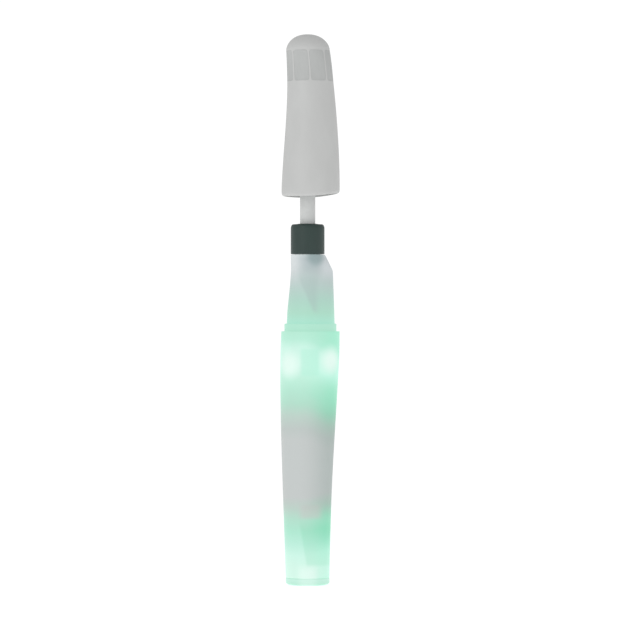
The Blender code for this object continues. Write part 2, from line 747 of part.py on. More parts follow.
def make_wires():
    """Leads that run inside the light, each whole along its own route."""
    top = HOLDER_HIGH_Z + HOLDER_PLATE
    radius = 0.6
    red = [(-3.0, -9.9, top + 0.9), (-3.4, -10.0, 108.0), (-2.5, -11.6, 124.0), (-1.6, -10.9, 140.2)]
    black = [(3.6, -9.9, top + 0.9), (4.8, -10.2, 108.0), (5.0, -11.6, 124.0), (4.0, -10.9, 140.2)]
    wire("supply_wire_red", FINISH["red"], red, radius)
    wire("supply_wire_black", FINISH["dark"], black, radius)
    tail = [
        (1.9, 12.6, RING_BOARD_Z - 1.2),
        (1.6, 13.2, 140.0),
        (1.2, 13.4, 115.0),
        (0.9, 13.15, 96.0),
        (0.8, 13.1, 70.0),
        (0.6, 13.1, 46.0),
        (0.3, 11.6, 34.0),
        (0.0, 10.0, 24.0),
        (0.0, 9.4, TAIL_BOARD_Z + 2.5),
    ]
    wire("tail_wire", FINISH["dark"], tail, radius)
    switch = [
        (10.8, 1.0, FLANGE_Z + 2.5),
        (12.6, 2.6, 176.0),
        (11.6, 3.6, 192.0),
        (10.2, 3.4, 203.0),
        (9.6, 2.4, 208.1),
    ]
    wire("switch_wire", FINISH["red"], switch, radius)


def main():
    clear_scene()
    make_finishes()
    make_light_tube()
    make_end_cap()
    make_neck_housing()
    make_guide()
    make_collet()
    make_lock_collar()
    make_stem()
    shell = make_grip_shell()
    make_grip_pads(shell)
    make_grip_core()
    make_upper_light()
    make_lower_light()
    make_battery_pack()
    make_power_button()
    make_wires()


main()
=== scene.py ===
"""Looks of a telescopic traffic baton light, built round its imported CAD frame.

The barrel glows from a ring of LEDs under its neck and from one LED above its end cap, and stays
grey where the cells stand. That glow is painted on opaque shells. Every visible shell is a fine mesh
that follows the CAD shell it stands for, apart from a slimmer crown on the grip and a fuller top edge
on the collar; the pieces inside keep their CAD shape. Heights and radii are worked out in metres, and
the materials measure places in millimetres, in the object's own frame, so that they move with it.
"""

import json
import math

import bmesh
import bpy
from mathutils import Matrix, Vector
from mathutils.bvhtree import BVHTree


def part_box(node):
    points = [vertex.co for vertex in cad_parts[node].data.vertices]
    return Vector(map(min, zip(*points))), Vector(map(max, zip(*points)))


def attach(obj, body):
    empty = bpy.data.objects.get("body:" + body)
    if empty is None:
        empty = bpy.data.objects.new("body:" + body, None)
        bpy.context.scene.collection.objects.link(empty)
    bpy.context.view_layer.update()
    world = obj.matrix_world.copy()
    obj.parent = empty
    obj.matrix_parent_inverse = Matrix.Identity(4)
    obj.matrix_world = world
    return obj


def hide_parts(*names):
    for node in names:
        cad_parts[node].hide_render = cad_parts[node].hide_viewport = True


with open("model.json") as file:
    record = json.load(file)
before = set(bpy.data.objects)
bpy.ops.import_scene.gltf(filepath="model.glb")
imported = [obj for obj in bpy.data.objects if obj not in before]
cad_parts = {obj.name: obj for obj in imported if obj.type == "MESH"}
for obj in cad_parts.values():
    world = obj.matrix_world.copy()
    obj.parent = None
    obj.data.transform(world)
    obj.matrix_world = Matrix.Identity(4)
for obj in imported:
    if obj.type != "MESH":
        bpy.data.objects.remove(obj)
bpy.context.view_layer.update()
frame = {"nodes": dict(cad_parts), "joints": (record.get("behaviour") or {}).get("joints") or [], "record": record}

MM = 0.001
FINE = 128
WALL = 1.6 * MM
GRIP_WALL = 1.5 * MM
GAP = 0.35 * MM

# Camera and light
CAMERA_HEIGHT = 0.1831
CAMERA_SIDE = 0.00157
CAMERA_DISTANCE = 2.296
CAMERA_LENS = 200
ROOM_LIGHT = 0.66
FLOOR_GLOW = 0.45
WINDOW_WATTS = 5.6

# Grip
CROWN_SHOULDER_Z = 356.5 * MM
CROWN_R = 14.6 * MM
CROWN_RISE_POWER = 1.7
CROWN_REACH_POWER = 2.3
RIM_LOW_X = -4.7 * MM
RIM_ARC_R = 131.0 * MM
RIM_ROUND = 2.2 * MM
RIM_EASE = 1.25 * MM
PAD_COUNT = 8
PAD_RIB_DEG = 5.0
PAD_POCKET = 1.1 * MM
PAD_JOINT = 0.03 * MM
PAD_CORNER_R = 1.6 * MM

# Glow of the barrel: places in millimetres, and how much of its colour shines through
UPPER_GLOW_Z = 148.3
GLOW_TILT = 1.8
GLOW_WALL_R = 19.0
BARREL_AXIS_X = 1.9
GLOW_SHARE = 0.7
LED_DEGREES = (45, 135, 225, 315)


# --- Places, read from the CAD frame ---


def joint(name):
    return next(found for found in frame["joints"] if found["name"] == name)


def disc_of(node):
    """Centre on X and radius of a round CAD node that is as wide as its box."""
    low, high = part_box(node)
    return (low.x + high.x) / 2, (high.x - low.x) / 2


def spread(low, high, count):
    return [low + (high - low) * i / (count - 1) for i in range(count)]


def side_lines(node, heights):
    """Stations of a CAD shell: height, -X side and +X side, where a level ray meets it."""
    mesh = frame["nodes"][node].data
    tree = BVHTree.FromPolygons([v.co for v in mesh.vertices], [list(p.vertices) for p in mesh.polygons])
    stations = []
    for height in heights:
        left = tree.ray_cast(Vector((-1, 1e-5, height)), Vector((1, 0, 0)))[0]
        right = tree.ray_cast(Vector((1, 1e-5, height)), Vector((-1, 0, 0)))[0]
        stations.append((height, left.x, right.x))
    return stations


def shoulder():
    """Where the button's axis meets the neck's sloping flat, and the flat's outward normal."""
    normal = -Vector(joint("power_press")["axis"]).normalized()
    low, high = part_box("tact_plunger")
    on_axis = (low + high) / 2
    height, _, x = side_lines("neck_housing", [NECK_TOP - 1 * MM])[0]
    return on_axis + normal * (Vector((x, 0, height)) - on_axis).dot(normal), normal


def smooth_between(stations, height, column):
    """Cubic curve through one column of the stations, which keeps the stations' own slopes."""
    heights = [station[0] for station in stations]
    values = [station[column] for station in stations]
    height = min(max(height, heights[0]), heights[-1])
    last = len(stations) - 1
    k = max(i for i in range(last) if heights[i] <= height)

    def slope(i):
        low, high = max(i - 1, 0), min(i + 1, last)
        return (values[high] - values[low]) / (heights[high] - heights[low])

    span = heights[k + 1] - heights[k]
    t = (height - heights[k]) / span
    rise = t * t * (3 - 2 * t)
    start = t * (1 - t) ** 2 * span * slope(k)
    end = t * t * (t - 1) * span * slope(k + 1)
    return values[k] + (values[k + 1] - values[k]) * rise + start + end


def section(stations, height):
    """The shell's centre on X and its radius at one height."""
    left = smooth_between(stations, height, 1)
    right = smooth_between(stations, height, 2)
    return (left + right) / 2, (right - left) / 2


TUBE_LOW, TUBE_HIGH = (corner.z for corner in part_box("light_tube"))
GRIP_LOW, GRIP_HIGH = (corner.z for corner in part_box("grip_shell"))
NECK_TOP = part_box("lock_collar")[0].z - GAP
SPIGOT_TOP = TUBE_HIGH + 5.1 * MM
GRIP_SIDE_HIGH = CROWN_SHOULDER_Z + 0.4 * MM
TUBE = side_lines("light_tube", spread(TUBE_LOW + 0.01 * MM, TUBE_HIGH - 0.01 * MM, 11))
NECK = side_lines("neck_housing", spread(SPIGOT_TOP + 0.01 * MM, 209.1 * MM, 5))
# Above them the neck swells on its +X side, and the flat cuts the swelling off.
NECK += [(215.0 * MM, -11.2 * MM, 15.4 * MM), (NECK_TOP, -11.3 * MM, 11.5 * MM)]
GRIP = side_lines("grip_shell", spread(265.01 * MM, GRIP_SIDE_HIGH, 9))
GRIP = [(GRIP_LOW, GRIP[0][1], GRIP[0][2])] + GRIP


# --- Mesh making ---


def loop(z, radius, centre=0.0, segments=FINE):
    """One level circle of points."""
    points = []
    for i in range(segments):
        angle = math.tau * i / segments
        points.append(Vector((centre + radius * math.cos(angle), radius * math.sin(angle), z)))
    return points


def shell_loop(stations, z, offset=0.0):
    centre, radius = section(stations, z)
    return loop(z, radius + offset, centre)


def arc(centre_r, centre_z, radius, start, end, count):
    """(radius, height) points along an arc, from one angle in degrees to another."""
    points = []
    for degrees in spread(start, end, count):
        angle = math.radians(degrees)
        points.append((centre_r + radius * math.cos(angle), centre_z + radius * math.sin(angle)))
    return points


def skin(build, loops, closed):
    """Joins each loop to the next: a ring when closed, else a solid with flat ends."""
    rows = [[build.verts.new(point) for point in points] for points in loops]
    following = rows[1:] + rows[:1] if closed else rows[1:]
    for row, above in zip(rows, following):
        count = len(row)
        for i in range(count):
            j = (i + 1) % count
            build.faces.new((row[i], row[j], above[j], above[i]))
    if not closed:
        build.faces.new(rows[0])
        build.faces.new(rows[-1])


def mesh_object(name, loop_sets, closed=False):
    build = bmesh.new()
    for loops in loop_sets:
        skin(build, loops, closed)
    bmesh.ops.recalc_face_normals(build, faces=build.faces)
    mesh = bpy.data.meshes.new(name)
    build.to_mesh(mesh)
    build.free()
    made = bpy.data.objects.new(name, mesh)
    bpy.context.scene.collection.objects.link(made)
    return made


def along(loops, start, direction):
    """Moves loops made round +Z so that their axis runs from start along direction."""
    turn = Vector((0, 0, 1)).rotation_difference(direction).to_matrix()
    return [[start + turn @ point for point in points] for points in loops]


def turned(name, profile, closed=True, segments=FINE):
    return mesh_object(name, [[loop(z, radius, 0.0, segments) for radius, z in profile]], closed)


def cut(piece, loop_sets, operation="DIFFERENCE"):
    """Cuts solids out of the piece, or adds them to it, for good."""
    tool = mesh_object(piece.name + "_tool", loop_sets)
    change = piece.modifiers.new("cut", "BOOLEAN")
    change.operation = operation
    change.solver = "EXACT"
    change.object = tool
    result = bpy.data.meshes.new_from_object(piece.evaluated_get(bpy.context.evaluated_depsgraph_get()))
    piece.modifiers.clear()
    piece.data = result
    bpy.data.objects.remove(tool)


def finished(piece, body, finish, replaced, crease=35):
    """Shades a piece, gives it its material and places it on its body for the CAD nodes it stands for."""
    piece.data.shade_smooth()
    piece.data.set_sharp_from_angle(angle=math.radians(crease))
    piece.data.materials.clear()
    piece.data.materials.append(finish)
    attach(piece, body)
    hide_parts(replaced)
    return piece


# --- Materials ---


def tone(red, green, blue):
    """Linear colour of a screen colour given from 0 to 255."""
    linear = []
    for value in (red, green, blue):
        share = value / 255
        linear.append(share / 12.92 if share <= 0.04045 else ((share + 0.055) / 1.055) ** 2.4)
    return (*linear, 1.0)


class Finish:
    """A material on one Principled BSDF, with short calls for the nodes that feed it."""

    def __init__(self, name, roughness=0.5, metallic=0.0, specular=0.5):
        self.material = bpy.data.materials.new(name)
        self.material.use_nodes = True
        self.tree = self.material.node_tree
        self.shader = self.tree.nodes["Principled BSDF"]
        self.set("Roughness", roughness)
        self.set("Metallic", metallic)
        self.set("Specular IOR Level", specular)
        place = self.add("ShaderNodeTexCoord").outputs["Object"]
        self.place = self.vector("SCALE", place, scale=1000)
        split = self.add("ShaderNodeSeparateXYZ")
        self.feed(split.inputs[0], self.place)
        self.x, self.y, self.z = split.outputs

    def add(self, kind, **settings):
        node = self.tree.nodes.new(kind)
        for key, value in settings.items():
            setattr(node, key, value)
        return node

    def feed(self, socket, value):
        """Links an output to the socket, or sets the socket to a plain value."""
        if isinstance(value, bpy.types.NodeSocket):
            self.tree.links.new(value, socket)
        else:
            socket.default_value = value

    def set(self, name, value):
        self.feed(self.shader.inputs[name], value)

    def math(self, operation, *values):
        node = self.add("ShaderNodeMath", operation=operation)
        for socket, value in zip(node.inputs, values):
            self.feed(socket, value)
        return node.outputs[0]

    def times(self, first, *others):
        for other in others:
            first = self.math("MULTIPLY", first, other)
        return first

    def vector(self, operation, first, second=None, scale=None):
        node = self.add("ShaderNodeVectorMath", operation=operation)
        self.feed(node.inputs[0], first)
        if second is not None:
            self.feed(node.inputs[1], second)
        if scale is not None:
            node.inputs["Scale"].default_value = scale
        return node.outputs["Value" if operation == "DISTANCE" else "Vector"]

    def rise(self, value, low, high, start=0.0, end=1.0):
        """Soft step from start to end as the value goes from low to high."""
        node = self.add("ShaderNodeMapRange", interpolation_type="SMOOTHSTEP")
        for socket, number in zip(node.inputs, (value, low, high, start, end)):
            self.feed(socket, number)
        return node.outputs[0]

    def span(self, value, low, high, soft):
        """1 between low and high, and 0 outside, with soft edges."""
        begin = self.rise(value, low - soft, low + soft)
        end = self.rise(value, high - soft, high + soft, 1, 0)
        return self.times(begin, end)

    def noise(self, scale, detail=2.0, stretch=(1, 1, 1), roughness=0.5):
        """Noise from 0 to 1, with about scale features to a millimetre."""
        node = self.add("ShaderNodeTexNoise")
        self.feed(node.inputs["Vector"], self.vector("MULTIPLY", self.place, stretch))
        node.inputs["Scale"].default_value = scale
        node.inputs["Detail"].default_value = detail
        node.inputs["Roughness"].default_value = roughness
        return node.outputs["Fac"]

    def mix(self, share, first, second, blend="MIX"):
        node = self.add("ShaderNodeMix", data_type="RGBA", blend_type=blend)
        colour_in = [socket for socket in node.inputs if socket.type == "RGBA"]
        self.feed(node.inputs[0], share)
        self.feed(colour_in[0], first)
        self.feed(colour_in[1], second)
        return next(socket for socket in node.outputs if socket.type == "RGBA")

    def ramp(self, value, stops):
        """Colour that passes through the stops, each a place and a colour, in order."""
        low, high = stops[0][0], stops[-1][0]
        node = self.add("ShaderNodeValToRGB")
        self.feed(node.inputs[0], self.rise_straight(value, low, high))
        marks = node.color_ramp.elements
        while len(marks) < len(stops):
            marks.new(0.5)
        for mark, (place, colour) in zip(marks, stops):
            mark.position = (place - low) / (high - low)
            mark.color = colour
        return node.outputs[0]

    def rise_straight(self, value, low, high):
        node = self.add("ShaderNodeMapRange")
        for socket, number in zip(node.inputs, (value, low, high)):
            self.feed(socket, number)
        return node.outputs[0]

    def bump(self, height, depth, strength=1.0):
        """Surface relief: height from 0 to 1 stands for depth in millimetres."""
        node = self.add("ShaderNodeBump")
        node.inputs["Strength"].default_value = strength
        node.inputs["Distance"].default_value = depth * MM
        self.feed(node.inputs["Height"], height)
        if self.shader.inputs["Normal"].is_linked:
            self.feed(node.inputs["Normal"], self.shader.inputs["Normal"].links[0].from_socket)
        self.set("Normal", node.outputs[0])

    def scuffs(self, amount):
        """Mask of short fine scratches that run roughly round the piece."""
        lines = self.noise(0.9, 3.0, (0.22, 0.22, 2.6), 0.6)
        where = self.noise(0.06, 2.0)
        return self.times(self.rise(lines, 0.66, 0.72), self.rise(where, 0.5, 0.7), amount)


def plastic(name, colour, roughness=0.5, grain=3.0, depth=0.01, mottle=0.04, specular=0.5):
    """Moulded plastic: slight colour mottle, spark-eroded grain and light wear."""
    made = Finish(name, roughness, specular=specular)
    darker = tuple(channel * (1 - 2 * mottle) for channel in colour[:3]) + (1.0,)
    clouds = made.noise(0.11, 3.0, (1, 1, 0.5))
    tinted = made.mix(made.rise(clouds, 0.3, 0.7), darker, colour)
    scratches = made.scuffs(0.5)
    worn = tuple(min(1.0, channel * 1.12 + 0.01) for channel in colour[:3]) + (1.0,)
    made.set("Base Color", made.mix(scratches, tinted, worn))
    fine = made.noise(grain, 2.0)
    rough = made.rise(fine, 0.3, 0.7, roughness - 0.05, roughness + 0.06)
    made.set("Roughness", made.math("SUBTRACT", rough, made.times(scratches, 0.15)))
    made.bump(fine, depth)
    return made


def metal(name, colour, roughness, stretch):
    """Bright metal with fine drawn lines."""
    made = Finish(name, roughness, 1.0)
    lines = made.noise(2.4, 3.0, stretch)
    darker = tuple(channel * 0.82 for channel in colour[:3]) + (1.0,)
    made.set("Base Color", made.mix(made.rise(lines, 0.35, 0.65), darker, colour))
    made.set("Roughness", made.rise(lines, 0.3, 0.7, roughness - 0.08, roughness + 0.1))
    made.bump(lines, 0.004)
    return made


PALE_MINT = tone(229, 253, 243)
MINT = tone(205, 247, 231)
SEA_GREEN = tone(178, 231, 209)
GREY_GREEN = tone(189, 211, 201)
COOL_GREY = tone(199, 204, 203)
BLUE_WHITE = tone(206, 216, 217)


def lit_surface(made, colour, share):
    """Splits the wanted colour between what the surface reflects and what shines through it."""
    black = (0, 0, 0, 1)
    shining = made.times(share, GLOW_SHARE)
    made.set("Base Color", made.mix(shining, colour, black))
    made.set("Emission Color", made.mix(shining, black, colour))
    made.set("Emission Strength", 1.0)


def frosted_relief(made):
    fine = made.noise(2.2, 2.0)
    flow = made.noise(0.35, 3.0, (1, 1, 0.08))
    made.set("Roughness", made.rise(fine, 0.3, 0.7, 0.4, 0.52))
    made.bump(flow, 0.03, 0.6)
    made.bump(fine, 0.006)


def tube_finish():
    """Frosted barrel with painted glow: bright at its two lights, grey at the cells, with painted shadows of what
    stands behind it and painted shade on its +X side.
    """
    made = Finish("frosted_tube", 0.45, specular=0.4)
    x, y, z = made.x, made.y, made.z
    # Towards +X the light reaches further along the barrel before it fades to grey.
    far_side = made.rise(x, -3, 20)
    reach = made.times(far_side, made.rise(z, 60, 90, -4, 8))
    base = made.ramp(made.math("ADD", z, reach), [
        (0.0, MINT),
        (5.0, tone(214, 249, 234)),
        (12.0, tone(212, 248, 233)),
        (20.0, MINT),
        (28.0, tone(187, 238, 219)),
        (36.0, tone(173, 232, 208)),
        (44.0, tone(175, 224, 203)),
        (51.5, tone(189, 211, 201)),
        (59.0, COOL_GREY),
        (97.0, COOL_GREY),
        (104.0, tone(193, 202, 199)),
        (113.0, GREY_GREEN),
        (121.0, tone(177, 222, 202)),
        (129.0, tone(179, 231, 209)),
        (137.0, tone(190, 240, 219)),
        (146.0, tone(207, 249, 233)),
        (158.0, MINT),
        (164.0, tone(184, 238, 216)),
        (169.0, tone(181, 235, 212)),
    ])
    low_light = made.rise(z, 44, 56, 1, 0)
    high_light = made.rise(z, 102, 126)
    share = made.math("MAXIMUM", low_light, high_light)
    # Painted shade on the +X side, which swells out away from the lights and the window: darker in the grey middle
    # and deeper green between the lights.
    painted_deep_shade = made.mix(1.0, base, (0.74, 0.9, 0.83, 1), "MULTIPLY")
    painted_side_shade = made.mix(1.0, base, (0.82, 0.88, 0.86, 1), "MULTIPLY")
    between_lights = made.math("MAXIMUM", made.span(z, 106, 136, 8), made.span(z, 28, 56, 8))
    colour = made.mix(made.times(far_side, made.span(z, 50, 110, 8)), base, painted_side_shade)
    colour = made.mix(made.times(far_side, between_lights), colour, painted_deep_shade)
    # Painted shade on the +X side where it glows, which turns the glow greener there.
    tinted = made.mix(1.0, colour, (0.84, 1.02, 0.97, 1), "MULTIPLY")
    colour = made.mix(made.times(far_side, share), colour, tinted)
    # One soft spot on the wall in front of each LED.
    for degrees in LED_DEGREES:
        angle = math.radians(degrees)
        across, back = math.cos(angle), math.sin(angle)
        height = UPPER_GLOW_Z + GLOW_TILT * across
        spot = (BARREL_AXIS_X + GLOW_WALL_R * across, GLOW_WALL_R * back, height)
        near = made.rise(made.vector("DISTANCE", made.place, spot), 2, 13, 1, 0)
        colour = made.mix(near, colour, PALE_MINT)
    # Painted shadow of the driver board behind the front wall.
    board_shadow = made.times(made.span(x, -4.5, 7.5, 1.6), made.span(z, 139.5, 157.5, 1.8), made.rise(y, -4, -8))
    colour = made.mix(made.times(board_shadow, 0.55), colour, tone(181, 242, 219))
    # Painted shadow of the spreader over the lower LED, which stands between it and the wall.
    edge = made.math("ADD", made.math("MULTIPLY", z, -0.17), 1.4)
    past_edge = made.rise(made.math("SUBTRACT", x, edge), -0.8, 1.6)
    spreader_shadow = made.times(past_edge, made.rise(z, 12, 15), made.rise(z, 46, 36))
    spreader_shade = made.mix(1.0, colour, (0.8, 0.93, 0.87, 1), "MULTIPLY")
    colour = made.mix(made.times(spreader_shadow, 0.75), colour, spreader_shade)
    # Painted shadow of the foot of the battery carrier.
    carrier_shadow = made.times(made.span(x, -5, 8.6, 2.5), made.span(z, 45, 54, 1.8))
    colour = made.mix(made.times(carrier_shadow, 0.5), colour, tone(198, 198, 196))
    colour = made.mix(made.times(lower_lobes(made), made.rise(z, 16, 9)), colour, PALE_MINT)
    clouds = made.noise(0.07, 2.0, (1, 1, 0.6))
    colour = made.mix(made.rise(clouds, 0.35, 0.75, 0, 0.08), colour, COOL_GREY)
    lit_surface(made, colour, share)
    frosted_relief(made)
    return made.material


def lower_lobes(made):
    """Three bright lobes that the lower LED's lens throws round the end of the barrel."""
    turn = made.math("ARCTAN2", made.x, made.math("MULTIPLY", made.y, -1))
    return made.rise(made.math("COSINE", made.math("MULTIPLY", turn, 3)), -0.2, 1, 0, 0.8)


def neck_finish():
    """Frosted neck with painted glow, mint at its spigot and cooler and whiter towards the collar, and with
    painted light, shade and shadows near its top.
    """
    made = Finish("frosted_neck", 0.45, specular=0.4)
    x, y, z = made.x, made.y, made.z
    colour = made.ramp(z, [
        (165.0, SEA_GREEN),
        (173.6, SEA_GREEN),
        (174.2, tone(172, 230, 209)),
        (181.0, tone(173, 221, 200)),
        (190.0, tone(177, 215, 201)),
        (200.0, tone(190, 210, 206)),
        (209.0, tone(196, 206, 207)),
        (217.0, tone(198, 206, 209)),
        (219.0, BLUE_WHITE),
        # Painted highlight along the neck's top edge.
        (220.5, tone(232, 238, 238)),
    ])
    share = made.rise(z, 176, 205, 1, 0.25)
    # Painted light: lighter on the -X side near the top.
    left = made.times(made.rise(x, 0, -10), made.rise(z, 196, 216))
    colour = made.mix(made.times(left, 0.7), colour, tone(226, 231, 232))
    # Painted light: lighter on the +X side near the top.
    right = made.times(made.rise(x, 6, 13), made.rise(z, 200, 212))
    colour = made.mix(made.times(right, 0.7), colour, tone(220, 227, 230))
    # Painted shade over the middle of the front near the top, where the core inside stands behind the wall.
    front = made.times(made.span(x, -4, 8, 5), made.rise(z, 205, 212), made.rise(y, 0, -4))
    colour = made.mix(made.times(front, 0.4), colour, tone(160, 180, 182))
    # Painted shadow of the stem's foot and the guide tube: a grey wedge.
    edge = made.math("ADD", made.math("MULTIPLY", made.math("SUBTRACT", z, 180), -0.44), 4.6)
    wedge_shadow = made.times(made.rise(made.math("SUBTRACT", x, edge), -1.5, 1.8), made.span(x, -6, 6.5, 3.0))
    wedge_shadow = made.times(wedge_shadow, made.rise(z, 179, 184), made.rise(z, 214, 200))
    colour = made.mix(made.times(wedge_shadow, 0.45), colour, tone(170, 192, 188))
    # Painted shadow of the tact switch behind the front of the shoulder.
    squashed = made.vector("MULTIPLY", made.place, (0.8, 0.2, 0.75))
    from_switch = made.vector("DISTANCE", squashed, (4.2, -2, 163.5))
    switch_shadow = made.times(made.rise(from_switch, 2, 6, 1, 0), made.rise(y, 0, -4))
    colour = made.mix(made.times(switch_shadow, 0.75), colour, tone(150, 172, 173))
    lit_surface(made, colour, share)
    frosted_relief(made)
    return made.material


def cap_finish():
    made = Finish("frosted_cap", 0.45, specular=0.4)
    # Painted glow of the lower LED.
    colour = made.ramp(made.z, [
        (0.0, tone(180, 230, 208)),
        (1.6, tone(190, 236, 217)),
        (4.2, tone(200, 242, 226)),
        (4.7, tone(186, 232, 212)),
    ])
    colour = made.mix(made.times(lower_lobes(made), 0.5), colour, PALE_MINT)
    lit_surface(made, colour, 1.0)
    frosted_relief(made)
    return made.material


def make_materials():
    grip = plastic("grip_plastic", tone(198, 199, 198), 0.5, 2.6, 0.012, 0.015)
    pads = plastic("pad_rubber", tone(187, 189, 188), 0.62, 3.4, 0.02, 0.03, 0.3)
    stem = plastic("stem_plastic", tone(216, 218, 217), 0.38, 1.6, 0.004, 0.02)
    collar = plastic("collar_plastic", tone(44, 62, 58), 0.46, 2.8, 0.012, 0.04, 0.42)
    inner = plastic("inner_plastic", tone(216, 218, 216), 0.5, 2.0, 0.008, 0.02)
    rubber = plastic("black_rubber", tone(38, 38, 38), 0.78, 3.0, 0.015, 0.08, 0.3)
    chip = plastic("chip_black", tone(34, 35, 37), 0.42, 4.0, 0.006, 0.05)
    button = plastic("button_rubber", tone(186, 196, 195), 0.66, 3.0, 0.012, 0.03, 0.35)
    red = plastic("wire_red", tone(176, 34, 30), 0.42, 2.0, 0.004, 0.04)
    black = plastic("wire_black", tone(36, 36, 38), 0.42, 2.0, 0.004, 0.04)
    return {
        "frosted_tube": tube_finish(),
        "frosted_neck": neck_finish(),
        "frosted_cap": cap_finish(),
        "grip_plastic": grip.material,
        "pad_rubber": pads.material,
        "stem_plastic": stem.material,
        "collar_plastic": collar.material,
        "inner_plastic": inner.material,
        "black_rubber": rubber.material,
        "chip_black": chip.material,
        "button_rubber": button.material,
        "wire_red": red.material,
        "wire_black": black.material,
        "circuit_board": board_finish(),
        "bright_steel": metal("bright_steel", tone(206, 208, 210), 0.3, (1, 1, 0.1)).material,
        "contact_brass": metal("contact_brass", tone(214, 184, 112), 0.32, (0.1, 1, 1)).material,
        "cell_label": cell_finish(),
        "led_lens": led_finish(),
    }


def board_finish():
    """White solder mask over copper tracks, which show as a faint raised pattern."""
    made = Finish("circuit_board", 0.4)
    tracks = made.add("ShaderNodeTexVoronoi", feature="DISTANCE_TO_EDGE", distance="MANHATTAN")
    made.feed(tracks.inputs["Vector"], made.place)
    tracks.inputs["Scale"].default_value = 0.55
    line = made.rise(tracks.outputs["Distance"], 0.05, 0.09, 1, 0)
    made.set("Base Color", made.mix(line, tone(226, 232, 226), tone(196, 208, 196)))
    made.set("Roughness", made.rise(made.noise(3.0), 0.3, 0.7, 0.32, 0.46))
    made.bump(line, 0.03)
    return made.material


def cell_finish():
    """Printed foil sleeve: a plain silver band over a darker one, with the seam's faint ripple."""
    made = Finish("cell_label", 0.36, 0.55)
    band = made.rise(made.z, 78.6, 79.0)
    colour = made.mix(band, tone(70, 84, 96), tone(186, 190, 194))
    ripple = made.noise(0.5, 2.0, (1, 1, 0.15))
    made.set("Base Color", made.mix(made.rise(ripple, 0.3, 0.7, 0, 0.15), colour, tone(120, 126, 132)))
    made.set("Roughness", made.rise(made.noise(1.4), 0.3, 0.7, 0.28, 0.44))
    made.bump(ripple, 0.03)
    return made.material


def led_finish():
    """Clear green lens over a lit die."""
    made = Finish("led_lens", 0.12)
    swirl = made.noise(0.8, 2.0)
    colour = made.mix(made.rise(swirl, 0.3, 0.7), tone(150, 246, 205), tone(190, 252, 226))
    made.set("Base Color", colour)
    made.set("Emission Color", colour)
    made.set("Emission Strength", 1.6)
    made.bump(swirl, 0.01)
    return made.material


# --- Fine shells ---


def make_light_tube(finish):
    """Barrel with eased edges, its mouth and the seat inside it."""
    centre, flange_r = disc_of("guide_tube")
    ease = 0.35 * MM
    mouth_r = flange_r + 0.4 * MM
    seat_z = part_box("led_ring_board")[1].z + 3.45 * MM
    top_centre, top_r = section(TUBE, TUBE_HIGH)
    outside = [shell_loop(TUBE, TUBE_LOW, -ease)]
    for lift, pull in ((0.3, 0.3), (1.0, 0.0)):
        outside.append(shell_loop(TUBE, TUBE_LOW + ease * lift, -ease * pull))
    outside += [shell_loop(TUBE, z) for z in spread(TUBE_LOW + 1.5 * MM, TUBE_HIGH - ease - 0.8 * MM, 70)]
    outside += [loop(z, r, top_centre) for r, z in arc(top_r - ease, TUBE_HIGH - ease, ease, 0, 90, 5)]
    mouth_edge = [(mouth_r + 0.25 * MM, TUBE_HIGH), (mouth_r + 0.06 * MM, TUBE_HIGH - 0.08 * MM)]
    mouth_edge += [(mouth_r, TUBE_HIGH - 0.3 * MM), (mouth_r, seat_z), (mouth_r - 1 * MM, seat_z)]
    mouth_edge += [(mouth_r - 1 * MM, seat_z - 2.5 * MM)]
    mouth = [loop(z, r, centre) for r, z in mouth_edge]
    inside = [shell_loop(TUBE, z, -WALL) for z in spread(seat_z - 4 * MM, TUBE_LOW, 40)]
    tube = mesh_object("light_tube_shell", [outside + mouth + inside], closed=True)
    return finished(tube, "light_body", finish, "light_tube")


def make_end_cap(finish):
    """Twist cap with a flat foot and an eased corner."""
    foot_r = disc_of("end_cap")[1]
    top = TUBE_LOW - GAP
    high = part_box("end_cap")[1].z
    spigot_r = 12.75 * MM
    groove_r = 11.8 * MM
    ease_r, ease_z = 4.4 * MM, 1.7 * MM
    profile = [(10.6 * MM, 0.0)]
    for degrees in spread(0, 90, 12):
        angle = math.radians(degrees)
        profile.append((foot_r - ease_r * (1 - math.sin(angle)), ease_z * (1 - math.cos(angle))))
    profile += arc(foot_r - 0.2 * MM, top - 0.2 * MM, 0.2 * MM, 0, 90, 4)
    profile += [(spigot_r, top), (spigot_r, 6.4 * MM), (groove_r, 6.4 * MM), (groove_r, 8.2 * MM)]
    profile += [(spigot_r, 8.2 * MM), (spigot_r - 0.05 * MM, high - 0.4 * MM), (spigot_r - 0.4 * MM, high)]
    profile += [(10.6 * MM, high), (10.6 * MM, 2.2 * MM)]
    cap = turned("end_cap_shell", profile, closed=False)
    return finished(cap, "twist_cap", finish, "end_cap")


def cut_to_flat(points, centre, middle, normal):
    """Pulls a level loop in to the shoulder's flat, with a narrow rounded edge between them."""
    soft = 0.35 * MM
    pulled = []
    for point in points:
        across = Vector((point.x - centre, point.y, 0))
        radius = across.length
        toward = across / radius
        if toward.dot(normal) > 0.05:
            start = Vector((centre, 0, point.z))
            flat_r = (middle - start).dot(normal) / toward.dot(normal)
            share = max(0.0, soft - abs(radius - flat_r)) / soft
            radius = min(radius, flat_r) - share * share * soft / 4
        pulled.append(Vector((centre, 0, point.z)) + toward * radius)
    return pulled


